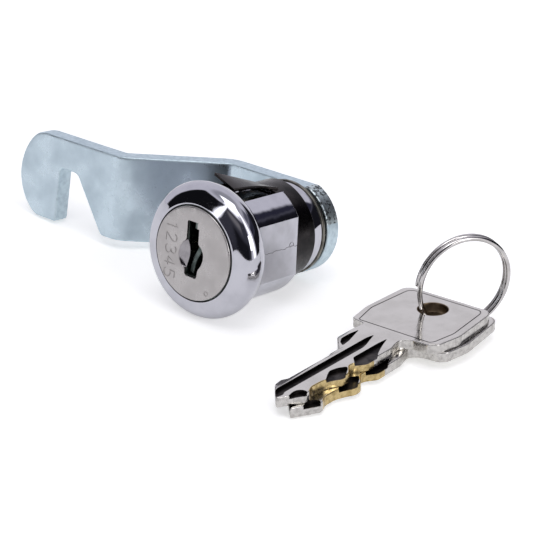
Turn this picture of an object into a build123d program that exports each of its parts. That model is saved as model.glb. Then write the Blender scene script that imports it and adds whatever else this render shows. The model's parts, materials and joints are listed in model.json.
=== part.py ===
from build123d import *
import math
import os

os.makedirs("parts", exist_ok=True)

# All lengths in mm, all angles in degrees.
# The lock is drawn in its own frame: origin at the middle of the plug's face,
# X to the right seen from the front, Y to the rear, Z up.

# Barrel and flange
barrel_d = 19.0
flats_across = 16.5
barrel_rear = 16.0
flange_overhang = 1.5
flange_d = barrel_d + 2 * flange_overhang
flange_widest = 3.2
flange_rear = 5.6
lip_front = 0.3
lip_width = 0.3

# Neck that carries the clip, and the collar behind it
neck_d = 14.9
collar_front = 20.9
collar_d = 15.5
collar_rear = 23.1

# Running fits
head_gap = 0.08
plug_gap = 0.05
turn_gap = 0.05
seat_gap = 0.02

# Plug
head_d = 15.2
head_rear = 2.5
plug_d = 12.5
face_cap_t = 0.5
face_edge = 0.2
shank_w = 6.6
keyway_end = 18.4

# Wafers
wafer_count = 6
wafer_first = 4.6
wafer_pitch = 2.05
wafer_t = 1.0
wafer_w = 6.0
wafer_lift = 1.0
wafer_gap = 0.04
window_w = 2.7
window_h = 7.6
ear_w = 0.95
ear_h = 0.9
channel_half = 3.65
spring_d = 0.8
spring_wire = 0.16
spring_turns = 3

# Slot in the top of the barrel
recess_half = 4.8
recess_floor = 6.6

# Clip
sleeve_front = 16.2
sleeve_rear = 20.7
sleeve_t = 0.6
sleeve_open = 56.0
wing_root = 17.2
wing_front = 9.45
wing_half = 2.9
wing_t = 0.5
wing_left = 4.0
wing_right = 3.0
wing_high = 10.46
wing_low = 7.05

# Stack behind the housing
stop_washer_d = 15.84
stop_washer_t = 0.6
spacer_d = 14.5
spacer_t = 0.5
cam_t = 3.0
tab_inner = 6.6
tab_outer = 7.3
tab_depth = 0.8
tab_arc = 16.0
turn_range = 90.0

# Cam
cam_front = 24.3
cam_width = 14.7
cam_hub_r = 8.0
bend_hub = -13.35
bend_tip = -26.0
crank = 13.44
bend_r = 1.2
cam_tip = -49.5

# Fixings
screw_d = 4.8
head_screw_d = 9.2
head_screw_t = 2.0
lock_washer_d = 9.0
lock_washer_t = 0.9
screw_reach = 8.0

# How the lock lies
housing_turn = -3.78

# Keys
key_bow_w = 17.8
key_t = 1.65
key_hole_d = 4.8
key_gap = 0.03
key_place = (29.77, 23.65)
key_normal = (-0.0794, -0.0173, 0.9967)
key_heading = -0.55
key2_shift = (0.35, 1.2)
key2_turn = 1.9
groove_depth = 0.5

# Ring
ring_mid_r = 7.7
ring_wire = 0.84
ring_azimuth = -28.6
ring_from_hole = 4.85

cam_front_at = collar_rear + turn_gap + stop_washer_t + spacer_t + 0.05
cam_rear_at = cam_front_at + cam_t


def box(x0, x1, y0, y1, z0, z1):
    """Box from its two corners."""
    return Pos((x0 + x1) / 2, (y0 + y1) / 2, (z0 + z1) / 2) * Box(x1 - x0, y1 - y0, z1 - z0)


def turned(points, arc=360.0):
    """Solid of revolution about Y from (radius, y) points."""
    return revolve(make_face(Polyline(*points, close=True)), axis=Axis.Y, revolution_arc=arc)


def disc(radius, y0, y1):
    """Round disc about Y."""
    return turned([(0, y0), (radius, y0), (radius, y1), (0, y1)])


def washer(radius, hole, y0, y1):
    """Flat ring about Y."""
    return turned([(hole, y0), (radius, y0), (radius, y1), (hole, y1)])


def prism(points, y0, y1):
    """Outline of (x, z) points drawn through from y0 to y1."""
    plane = Plane(origin=(0, y0, 0), x_dir=(1, 0, 0), z_dir=(0, -1, 0))
    face = plane * make_face(Polyline(*points, close=True))
    return extrude(face, amount=y1 - y0, dir=(0, 1, 0))


def housing():
    """Round flange, double-D barrel, neck and collar, with the bore and the wafer channel."""
    rb, rf, rn, rc = barrel_d / 2, flange_d / 2, neck_d / 2, collar_d / 2
    bore, seat = plug_d / 2 + plug_gap, head_d / 2 + head_gap
    lip = seat + lip_width
    rise = rf - lip
    rim = (
        Line((seat, lip_front), (lip, lip_front))
        + ThreePointArc(
            (lip, lip_front),
            (lip + rise * 0.72, lip_front + (flange_widest - lip_front) * 0.33),
            (rf, flange_widest),
        )
        + ThreePointArc(
            (rf, flange_widest),
            (rf - 0.45, flange_widest + (flange_rear - flange_widest) * 0.66),
            (rb + 0.5, flange_rear),
        )
        + Polyline(
            (rb + 0.5, flange_rear),
            (rb, flange_rear),
            (rb, barrel_rear),
            (rn, barrel_rear),
            (rn, collar_front),
            (rc, collar_front),
            (rc, collar_rear),
            (bore, collar_rear),
            (bore, head_rear + 0.1),
            (seat, head_rear + 0.1),
            (seat, lip_front),
        )
    )
    body = revolve(make_face(rim), axis=Axis.Y)
    half = flats_across / 2
    for side in (-1, 1):
        x0, x1 = sorted((side * half, side * (rb + 2)))
        body -= box(x0, x1, flange_rear, barrel_rear + 0.01, -rb - 1, rb + 1)
    body -= box(-recess_half, recess_half, flange_rear, barrel_rear + 0.01, recess_floor, rb + 1)
    reach = plug_d / 2 + wafer_lift + 0.25
    y0 = wafer_first - wafer_t / 2 - 0.3
    y1 = wafer_first + (wafer_count - 1) * wafer_pitch + wafer_t / 2 + 0.2
    body -= box(-channel_half, channel_half, y0, y1, -reach, reach)
    half_tab = tab_arc / 2 + 1.0
    pocket = turned(
        [
            (tab_inner - 0.1, collar_rear - tab_depth - 0.1),
            (tab_outer + 0.1, collar_rear - tab_depth - 0.1),
            (tab_outer + 0.1, collar_rear + 0.01),
            (tab_inner - 0.1, collar_rear + 0.01),
        ],
        turn_range + 2 * half_tab,
    )
    body -= Rot(0, -90 - half_tab - housing_turn, 0) * pocket
    return body


def spring_clip():
    """Open sleeve round the neck with one wing that stands up over the slot."""
    inner = neck_d / 2 + 0.05
    outer = inner + sleeve_t
    ring = turned(
        [(inner, sleeve_front), (outer, sleeve_front), (outer, sleeve_rear), (inner, sleeve_rear)],
        360 - sleeve_open,
    )
    ring = Rot(0, 90 + sleeve_open / 2, 0) * ring
    root_z = inner - 0.15
    root = [
        (-wing_half, wing_root, root_z),
        (wing_half, wing_root, root_z),
        (wing_half, wing_root, root_z + wing_t),
        (-wing_half, wing_root, root_z + wing_t),
    ]
    front = [
        (-wing_left, wing_front, wing_high - wing_t),
        (wing_right, wing_front, wing_low),
        (wing_right + wing_t / 5, wing_front, wing_low + wing_t),
        (-wing_left + wing_t / 5, wing_front, wing_high),
    ]
    faces = [make_face(Polyline(*outline, close=True)) for outline in (root, front)]
    wing = loft(faces, ruled=True) - disc(inner, barrel_rear, sleeve_rear)
    return ring + wing


def keyway_outline(ledge):
    """Keyway seen from the front; the ledge leaves the upper right corner closed."""
    top = [(-1.42, 5.13), (-0.15, 5.12), (-0.15, 4.0), (1.0, 4.0)] if ledge else [(-1.42, 5.13), (0.88, 5.1)]
    return top + [
        (1.1, 2.6),
        (1.97, 1.35),
        (2.25, 0.2),
        (2.2, -0.71),
        (1.75, -2.4),
        (1.08, -3.68),
        (-1.3, -3.72),
        (-1.5, -1.8),
        (-2.3, -1.4),
        (-2.54, -0.92),
        (-2.35, 0.2),
        (-1.78, 0.8),
        (-1.28, 1.9),
    ]


def wafer_at(index):
    """Middle of a wafer along Y."""
    return wafer_first + index * wafer_pitch


def plug():
    """Core: round head, slotted body and a square shank with the screw's hole."""
    body = disc(head_d / 2, face_cap_t, head_rear) + disc(plug_d / 2, head_rear, collar_rear + seat_gap)
    half = shank_w / 2
    body += box(-half, half, collar_rear, cam_rear_at - 0.2, -half, half)
    body -= prism(keyway_outline(True), face_cap_t - 0.01, keyway_end)
    body -= disc(screw_d / 2 + 0.05, cam_rear_at - screw_reach - 0.5, cam_rear_at + 1)
    side = wafer_w / 2 + wafer_gap
    thick = wafer_t / 2 + wafer_gap
    for index in range(wafer_count):
        y = wafer_at(index)
        body -= box(-side, side, y - thick, y + thick, -plug_d, plug_d)
        body -= box(-side - ear_w - 0.1, -side + 0.01, y - thick, y + thick, -3.6, ear_h / 2 + wafer_lift + 0.25)
    return body


def plug_face():
    """Thin plated cap on the plug's head with the keyway through it."""
    r = head_d / 2
    cap = turned([(0, 0), (r - face_edge, 0), (r, face_edge), (r, face_cap_t), (0, face_cap_t)])
    return cap - prism(keyway_outline(False), -0.1, face_cap_t + 0.1)


def wafer(index):
    """Sliding plate with a window for the key and an ear for its spring."""
    y = wafer_at(index)
    y0, y1 = y - wafer_t / 2, y + wafer_t / 2
    plate = disc(plug_d / 2 - 0.05, y0, y1) & box(-wafer_w / 2, wafer_w / 2, y0, y1, -plug_d, plug_d)
    plate += box(-wafer_w / 2 - ear_w, -wafer_w / 2 + 0.1, y0, y1, -ear_h / 2, ear_h / 2)
    shift = (0.35, -0.3, 0.1, 0.35, -0.15, 0.2)[index % 6]
    low = shift - window_h / 2
    return plate - box(-window_w / 2, window_w / 2, y0 - 1, y1 + 1, low, low + window_h)


def wafer_spring(index):
    """Small coil under the wafer's ear."""
    y = wafer_at(index)
    x = -(wafer_w / 2 + ear_w / 2 + 0.03)
    low, high = -3.45, -ear_h / 2 - 0.12
    path = Helix(
        pitch=(high - low) / spring_turns,
        height=high - low,
        radius=(spring_d - spring_wire) / 2,
    )
    start = Plane(origin=path @ 0, z_dir=path % 0, x_dir=(0, 0, 1))
    coil = sweep(start * Rectangle(spring_wire, spring_wire), path=path, is_frenet=True)
    return Pos(x, y, low) * coil


def stop_washer():
    """Flat washer on the square with a tab that runs in the collar's pocket."""
    y0 = collar_rear + turn_gap
    half = shank_w / 2 + seat_gap
    ring = disc(stop_washer_d / 2, y0, y0 + stop_washer_t)
    ring -= box(-half, half, y0 - 1, y0 + 3, -half, half)
    tab = turned(
        [
            (tab_inner, collar_rear - tab_depth),
            (tab_outer, collar_rear - tab_depth),
            (tab_outer, y0 + 0.1),
            (tab_inner, y0 + 0.1),
        ],
        tab_arc,
    )
    return ring + Rot(0, -90 - tab_arc / 2, 0) * tab


def spacer_washer():
    """Thin dark washer between the stop washer and the cam."""
    y0 = collar_rear + turn_gap + stop_washer_t + seat_gap
    half = shank_w / 2 + seat_gap
    return disc(spacer_d / 2, y0, y0 + spacer_t) - box(-half, half, y0 - 1, y0 + 3, -half, half)


def cam_outline():
    """Outline of the cam seen from the front, from the hub round to the hook."""
    half = cam_width / 2
    turn = math.degrees(math.asin(half / cam_hub_r))
    hub = [
        (cam_hub_r * math.cos(math.radians(a)), cam_hub_r * math.sin(math.radians(a)))
        for a in [-turn + 2 * turn * i / 16 for i in range(17)]
    ]
    reach = cam_tip
    return hub + [
        (reach + 5.5, half),
        (reach + 4.0, 6.95),
        (reach + 3.1, 6.3),
        (reach + 2.0, 5.1),
        (reach + 0.9, 3.2),
        (reach + 0.2, 1.04),
        (reach, -1.2),
        (reach + 0.5, -3.6),
        (reach + 1.5, -5.55),
        (reach + 2.9, -7.1),
        (reach + 4.2, -7.87),
        (reach + 8.9, -7.87),
        (reach + 9.15, -7.4),
        (reach + 9.6, 1.5),
        (reach + 10.0, 1.95),
        (reach + 13.2, 1.95),
        (reach + 13.95, 1.5),
        (reach + 14.5, 0.55),
        (reach + 19.6, -7.0),
        (reach + 20.0, -half),
    ]


def cam():
    """Cranked plate: hub on the square, slope, and a tip with a hook notch."""
    slope = math.atan2(crank, bend_hub - bend_tip)
    inset = cam_t * math.tan(slope / 2)
    side = [
        (cam_hub_r + 2, cam_front_at),
        (bend_hub, cam_front_at),
        (bend_tip, cam_front_at - crank),
        (cam_tip - 2, cam_front_at - crank),
        (cam_tip - 2, cam_front_at - crank + cam_t),
        (bend_tip - inset, cam_front_at - crank + cam_t),
        (bend_hub - inset, cam_rear_at),
        (cam_hub_r + 2, cam_rear_at),
    ]
    plate = Pos(0, 0, -20) * extrude(make_face(Polyline(*side, close=True)), amount=40)
    at = ((bend_hub, cam_front_at), (bend_tip, cam_front_at - crank))
    radii = {0: (bend_r, bend_r + cam_t), 1: (bend_r + cam_t, bend_r)}
    for index, (x, y) in enumerate(at):
        front = [e for e in plate.edges().filter_by(Axis.Z) if abs(e.center().X - x) < 0.1 and abs(e.center().Y - y) < 0.1]
        rear = [
            e
            for e in plate.edges().filter_by(Axis.Z)
            if abs(e.center().X - x + inset) < 0.1 and abs(e.center().Y - y - cam_t) < 0.1
        ]
        plate = fillet(front, radii[index][0])
        rear = [
            e
            for e in plate.edges().filter_by(Axis.Z)
            if abs(e.center().X - x + inset) < 0.1 and abs(e.center().Y - y - cam_t) < 0.1
        ]
        plate = fillet(rear, radii[index][1])
    plate &= prism(cam_outline(), cam_front_at - crank - 5, cam_rear_at + 5)
    half = shank_w / 2 + seat_gap
    return plate - box(-half, half, cam_front_at - 1, cam_rear_at + 1, -half, half)


def lock_washer():
    """Split spring washer under the screw's head."""
    y0 = cam_rear_at + seat_gap
    ring = washer(lock_washer_d / 2, screw_d / 2 + 0.15, y0, y0 + lock_washer_t)
    return ring - box(0, lock_washer_d, y0 - 1, y0 + 2, -0.25, 0.25)


def cam_screw():
    """Cheese-head screw with a hex socket that holds the cam on the plug."""
    y0 = cam_rear_at + lock_washer_t + 2 * seat_gap
    body = disc(screw_d / 2, cam_rear_at - screw_reach, y0 + 0.1)
    r = head_screw_d / 2
    head = turned([(0, y0), (r, y0), (r, y0 + head_screw_t - 0.4), (r - 0.4, y0 + head_screw_t), (0, y0 + head_screw_t)])
    hexagon = [(2.2 * math.cos(math.radians(60 * i)), 2.2 * math.sin(math.radians(60 * i))) for i in range(6)]
    return body + head - prism(hexagon, y0 + 0.6, y0 + head_screw_t + 1)


def at_key_size(points):
    """Numbers drawn for a bow 17.8 wide, at the key's real size."""
    size = key_bow_w / 17.8
    return [tuple(size * number for number in point) for point in points]


def bow_outline():
    """Bow of the key; the origin is the middle of its hole and the blade runs down -Y."""
    return [
        (-8.15, -10.1),
        (-8.9, -5.7),
        (-8.4, 3.2),
        (-8.1, 4.0),
        (-7.3, 4.5),
        (7.3, 4.5),
        (8.1, 4.0),
        (8.4, 3.2),
        (8.9, -5.7),
        (8.0, -9.6),
        (6.6, -10.3),
    ]


def blade_outline():
    """Shoulder and blade with the bitting on its right edge."""
    return [
        (3.4, -9.6),
        (2.6, -11.5),
        (2.3, -12.6),
        (2.55, -14.2),
        (2.9, -15.6),
        (3.3, -19.1),
        (1.85, -23.0),
        (1.95, -24.2),
        (3.6, -26.7),
        (3.45, -27.8),
        (1.6, -30.5),
        (1.65, -31.8),
        (2.3, -33.3),
        (2.3, -34.2),
        (-0.2, -38.05),
        (-3.0, -35.2),
        (-3.3, -33.2),
        (-2.6, -32.3),
        (-2.55, -19.7),
        (-2.95, -19.3),
        (-5.5, -17.1),
        (-5.5, -9.6),
    ]


def grooves():
    """Milled grooves of the upper side as (u0, u1, v0, v1)."""
    return [(-1.35, -0.15, -36.7, -13.2), (0.75, 1.95, -22.0, -12.9), (0.8, 1.5, -30.0, -24.0)]


def key():
    """Flat key lying in XY, its top at z = 0."""
    bow = make_face(Polyline(*at_key_size(bow_outline()), close=True))
    blade = make_face(Polyline(*at_key_size(blade_outline()), close=True))
    body = extrude(bow, amount=-key_t) + extrude(blade, amount=-key_t)
    border = offset(bow, amount=-0.8, kind=Kind.INTERSECTION) - offset(bow, amount=-1.05, kind=Kind.INTERSECTION)
    body -= extrude(border, amount=-0.12)
    body -= Pos(0, 0, -key_t / 2) * Cylinder(key_hole_d / 2, key_t * 2)
    for u0, u1, v0, v1 in at_key_size(grooves()):
        body -= box(u0, u1, v0, v1, -groove_depth, 1)
    tip = at_key_size([(0.5, -35.2), (1.3, -36.5), (2.9, -34.6), (1.9, -33.4)])
    pocket = make_face(Polyline(*tip, close=True))
    body -= Pos(0, 0, -groove_depth) * extrude(pocket, amount=2)
    facet = at_key_size([(-4.5, -13.4), (-3.0, -13.4), (-3.0, -18.8), (-4.5, -17.4)])
    corner = make_face(Polyline(*facet, close=True))
    body -= Pos(0, 0, -0.3) * extrude(corner, amount=2)
    under = at_key_size([(-2.1, -1.3, -36.0, -13.5)])[0]
    body -= box(*under, -key_t - 1, -key_t + 0.4)
    return body


def key_ring():
    """Split ring of two turns side by side, joined by a short step."""
    step = ring_wire / 2 + 0.02
    wire = ring_wire / 2
    gap = 5.0
    turn = 360 - gap

    def hoop(offset_y, start):
        section = Pos(ring_mid_r, offset_y, 0) * Circle(wire)
        return Rot(0, start, 0) * revolve(section, axis=Axis.Y, revolution_arc=turn)

    first = hoop(-step, 0)
    second = hoop(step, gap + 1.0)
    a0 = math.radians(turn)
    start = Vector(ring_mid_r * math.cos(a0), -step, -ring_mid_r * math.sin(a0))
    a1 = math.radians(gap + 1.0)
    end = Vector(ring_mid_r * math.cos(a1), step, -ring_mid_r * math.sin(a1))
    link_axis = end - start
    link = Plane(origin=start - link_axis * 0.1, z_dir=link_axis) * extrude(Circle(wire * 0.94), amount=link_axis.length * 1.2)
    return first + second + link


def lie():
    """Tilt, height and roll at which the lock lies on its flange, the barrel's rear edge and the hook."""
    rim = (flange_rear - flange_widest) * 0.96
    ring = flange_d / 2 - rim
    run = barrel_rear - flange_widest
    drop = ring - barrel_d / 2
    tilt = math.degrees(math.atan2(drop, run) + math.asin(rim / math.hypot(run, drop)))
    s, c = math.sin(math.radians(tilt)), math.cos(math.radians(tilt))
    height = max(ring * c + flange_widest * s + rim, barrel_d / 2 * c + barrel_rear * s)
    level = -(height - (cam_front_at - crank + cam_t) * s) / c
    high, low = 0.0, -20.0
    for _ in range(40):
        roll = (high + low) / 2
        sr, cr = math.sin(math.radians(roll)), math.cos(math.radians(roll))
        lowest = min(-x * sr + z * cr for x, z in cam_outline() if x < bend_tip)
        if lowest < level:
            low = roll
        else:
            high = roll
    return tilt, height, (high + low) / 2


def assembly():
    """Every piece in place on the table, before the move to the common origin."""
    tilt, height, roll = lie()
    lock = Pos(0, 0, height) * Rot(-tilt, 0, 0) * Rot(0, roll, 0)
    turned_lock = lock * Rot(0, housing_turn, 0)
    pieces = {
        "housing": turned_lock * housing(),
        "spring_clip": turned_lock * spring_clip(),
        "plug": lock * plug(),
        "plug_face": lock * plug_face(),
        "stop_washer": lock * stop_washer(),
        "spacer_washer": lock * spacer_washer(),
        "cam": lock * cam(),
        "lock_washer": lock * lock_washer(),
        "cam_screw": lock * cam_screw(),
    }
    for index in range(wafer_count):
        pieces[f"wafer_{index + 1}"] = lock * wafer(index)
        pieces[f"wafer_spring_{index + 1}"] = lock * wafer_spring(index)
    head = math.radians(key_heading)
    plane = Plane(origin=(*key_place, 0), x_dir=(math.cos(head), math.sin(head), 0), z_dir=key_normal)
    flat = key()
    second = plane.location * Pos(key2_shift[0], key2_shift[1], -key_t - key_gap) * Rot(0, 0, key2_turn)
    under = second * flat
    lift = Pos(0, 0, -min(vertex.Z for vertex in under.vertices()))
    pieces["key_1"] = lift * plane.location * flat
    pieces["key_2"] = lift * under
    a = math.radians(ring_azimuth)
    along = Vector(-math.sin(a), math.cos(a), 0)
    centre = Vector(key_place[0], key_place[1], 0) + along * ring_from_hole
    ring_plane = Plane(
        origin=(centre.X, centre.Y, ring_mid_r + ring_wire / 2),
        x_dir=along,
        z_dir=(0, 0, 1),
    )
    pieces["key_ring"] = ring_plane.location * (Rot(0, -60, 0) * key_ring())
    return pieces


def main():
    pieces = assembly()
    points = [corner for piece in pieces.values() for corner in piece.tessellate(0.02, 0.2)[0]]
    low = [min(getattr(point, axis) for point in points) for axis in "XYZ"]
    high = [max(getattr(point, axis) for point in points) for axis in "XYZ"]
    shift = Pos(-(low[0] + high[0]) / 2, -(low[1] + high[1]) / 2, -low[2])
    for name, piece in pieces.items():
        moved = shift * piece
        export_step(moved, f"parts/{name}.step")


main()
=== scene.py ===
"""Cam lock with two keys on a split ring: its visible pieces, their finishes, the light and the camera."""

from __future__ import annotations

import json
import logging
import math
from dataclasses import dataclass
from enum import Enum
from typing import Any

import bmesh
import bpy
import numpy as np
from mathutils import Matrix
from mathutils.geometry import delaunay_2d_cdt

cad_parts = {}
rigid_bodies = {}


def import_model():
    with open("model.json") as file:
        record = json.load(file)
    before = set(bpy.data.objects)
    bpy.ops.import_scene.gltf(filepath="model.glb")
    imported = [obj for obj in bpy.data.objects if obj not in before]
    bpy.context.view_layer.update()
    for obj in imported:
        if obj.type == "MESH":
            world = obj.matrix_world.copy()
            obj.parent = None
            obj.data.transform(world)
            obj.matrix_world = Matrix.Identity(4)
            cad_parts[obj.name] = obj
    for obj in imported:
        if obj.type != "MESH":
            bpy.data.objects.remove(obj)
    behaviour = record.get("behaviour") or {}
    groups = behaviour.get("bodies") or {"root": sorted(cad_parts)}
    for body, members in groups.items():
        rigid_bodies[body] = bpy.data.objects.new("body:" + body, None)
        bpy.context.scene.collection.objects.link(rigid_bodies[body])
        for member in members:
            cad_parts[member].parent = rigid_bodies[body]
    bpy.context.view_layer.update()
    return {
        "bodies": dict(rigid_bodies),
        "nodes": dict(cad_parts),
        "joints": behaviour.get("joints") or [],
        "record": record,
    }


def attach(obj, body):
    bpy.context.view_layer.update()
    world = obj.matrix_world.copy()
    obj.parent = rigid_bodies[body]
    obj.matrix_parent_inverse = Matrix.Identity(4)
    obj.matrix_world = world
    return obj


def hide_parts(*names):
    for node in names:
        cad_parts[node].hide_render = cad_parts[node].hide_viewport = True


log = logging.getLogger("cam_lock")

MM = 0.001
WELD = 2e-7
SHARP_DEGREES = 38.0
Colour = tuple[float, float, float]
Point = tuple[float, float, float]


# Curves in the plane


def arc(radius: float, start: float, end: float, steps: int = 48) -> np.ndarray:
    """Points on a circle round the origin, from one angle in degrees to another."""
    angle = np.radians(np.linspace(start, end, steps))
    return radius * np.stack([np.cos(angle), np.sin(angle)], 1)


def circle(radius: float, count: int) -> np.ndarray:
    """Points evenly round the origin, the first one on the right."""
    return arc(radius, 0, 360, count + 1)[:-1]


def arc_through(first: tuple, middle: tuple, last: tuple, steps: int = 24) -> np.ndarray:
    """Points on the circle through three points: the centre solves two equal-distance equations.

    Args:
        first: Start of the arc.
        middle: A point between.
        last: End of the arc.
        steps: Number of points.

    Returns:
        An array of points, ends included.
    """
    a, b, c = (np.asarray(p, float) for p in (first, middle, last))
    centre = np.linalg.solve(2 * np.array([b - a, c - a]), np.array([b @ b - a @ a, c @ c - a @ a]))
    angles = np.unwrap([math.atan2(*(p - centre)[::-1]) for p in (a, b, c)])
    sweep = np.linspace(angles[0], angles[2], steps)
    return centre + np.linalg.norm(a - centre) * np.stack([np.cos(sweep), np.sin(sweep)], 1)


def rounded(points: Any, radius: float, steps: int = 4, closed: bool = True) -> np.ndarray:
    """Softens each corner: a point p becomes a quadratic curve from p - d*in to p + d*out.

    Args:
        points: Corners of a line or loop.
        radius: Longest distance d from a corner at which its curve starts.
        steps: Points per corner.
        closed: Whether the line comes back to its start.

    Returns:
        The softened line as an array.
    """
    p = np.asarray(points, float)
    before, after = np.roll(p, 1, 0), np.roll(p, -1, 0)
    reach_in = np.linalg.norm(p - before, axis=1, keepdims=True)
    reach_out = np.linalg.norm(after - p, axis=1, keepdims=True)
    d = np.minimum(radius, 0.45 * np.minimum(reach_in, reach_out))
    start, end = p + (before - p) / reach_in * d, p + (after - p) / reach_out * d
    t = np.linspace(0, 1, steps)[None, :, None]
    curve = (1 - t) ** 2 * start[:, None] + 2 * t * (1 - t) * p[:, None] + t**2 * end[:, None]
    if closed:
        return curve.reshape(-1, p.shape[1])
    return np.concatenate([p[:1], curve[1:-1].reshape(-1, p.shape[1]), p[-1:]])


def resampled(loop: np.ndarray, spacing: float) -> np.ndarray:
    """Points at an even distance along a closed loop, by its running length.

    Args:
        loop: The loop.
        spacing: About the distance between points.

    Returns:
        The new loop.
    """
    closed = np.concatenate([loop, loop[:1]])
    run = np.concatenate([[0], np.cumsum(np.linalg.norm(np.diff(closed, axis=0), axis=1))])
    at = np.linspace(0, run[-1], max(8, int(run[-1] / spacing)), endpoint=False)
    return np.stack([np.interp(at, run, closed[:, k]) for k in range(loop.shape[1])], 1)


def inset(loop: np.ndarray, amount: float) -> np.ndarray:
    """Moves each point of a closed loop inwards along the normal of the chord past it.

    Args:
        loop: Points of the loop, either way round.
        amount: Distance inwards, or outwards where negative.

    Returns:
        The moved loop, point for point.
    """
    chord = np.roll(loop, -1, 0) - np.roll(loop, 1, 0)
    normal = np.stack([-chord[:, 1], chord[:, 0]], 1) / np.linalg.norm(chord, axis=1, keepdims=True)
    x, y = loop.T
    turn = np.sign(np.sum(x * np.roll(y, -1) - np.roll(x, -1) * y))
    return loop + normal * turn * amount


def inside(points: np.ndarray, loops: list[np.ndarray]) -> np.ndarray:
    """True where a ray to the right of a point crosses the loops an odd number of times.

    Args:
        points: Plane points.
        loops: Closed loops.

    Returns:
        One truth value for each point.
    """
    odd = np.zeros(len(points), bool)
    px, py = points[:, :1], points[:, 1:]
    for loop in loops:
        ax, ay = loop.T
        bx, by = np.roll(loop, -1, 0).T
        spans = (ay > py) != (by > py)
        rise = np.where(by == ay, 1.0, by - ay)
        odd ^= (np.sum(spans & (px < (bx - ax) * (py - ay) / rise + ax), 1) % 2).astype(bool)
    return odd


# Surfaces


@dataclass(frozen=True)
class Seat:
    """A frame of a piece in the row frame: its origin in mm and its three directions."""

    origin: tuple[float, float, float]
    axes: tuple[tuple[float, float, float], ...]

    def put(self, points: np.ndarray) -> np.ndarray:
        """Row-frame metres of points given in this frame's mm."""
        return (points @ np.array(self.axes) + np.array(self.origin)) * MM


def strips(rings: int, around: int, closed: bool = True) -> np.ndarray:
    """Quads between successive rings of a grid whose rows are rings of equal length.

    Args:
        rings: Number of rows.
        around: Points in each row.
        closed: Whether each row joins its own start.

    Returns:
        Index rows of four corners.
    """
    row = np.arange(rings - 1)[:, None] * around
    step = np.arange(around if closed else around - 1)[None, :]
    following = (step + 1) % around
    quads = np.stack([row + step, row + following, row + around + following, row + around + step], -1)
    return quads.reshape(-1, 4)


def sheet(loops: list, extra: Any = (), marks: Any = ()) -> tuple[np.ndarray, np.ndarray]:
    """Fills the plane region that an odd number of the loops encloses with triangles.

    Args:
        loops: Closed loops, which keep their own points.
        extra: More points to pass through.
        marks: Closed loops that triangles must not cross.

    Returns:
        Plane points and triangle rows.
    """
    edges, start = [], 0
    for loop in (*loops, *marks):
        ring = np.arange(len(loop)) + start
        edges.append(np.stack([ring, np.roll(ring, -1)], 1))
        start += len(loop)
    joined = np.concatenate([*loops, *marks, np.reshape(extra, (-1, 2))])
    found = delaunay_2d_cdt(joined.tolist(), np.concatenate(edges).tolist(), [], 0, 1e-6)
    points, triangles = np.array([tuple(p) for p in found[0]]), np.array(found[2])
    return points, triangles[inside(points[triangles].mean(1), loops)]


def step_walls(triangles: np.ndarray, lower: np.ndarray) -> np.ndarray:
    """Edges of the upper triangles whose other side is a lower one, as rows of two points.

    Args:
        triangles: Triangle rows.
        lower: Which of them lie lower.

    Returns:
        Index rows of the shared edges.
    """
    size, sides = triangles.max() + 1, ([0, 1], [1, 2], [2, 0])
    high = np.concatenate([triangles[~lower][:, side] for side in sides])
    low = np.concatenate([triangles[lower][:, side] for side in sides])
    return high[np.isin(high[:, 0] * size + high[:, 1], low[:, 1] * size + low[:, 0])]


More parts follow.
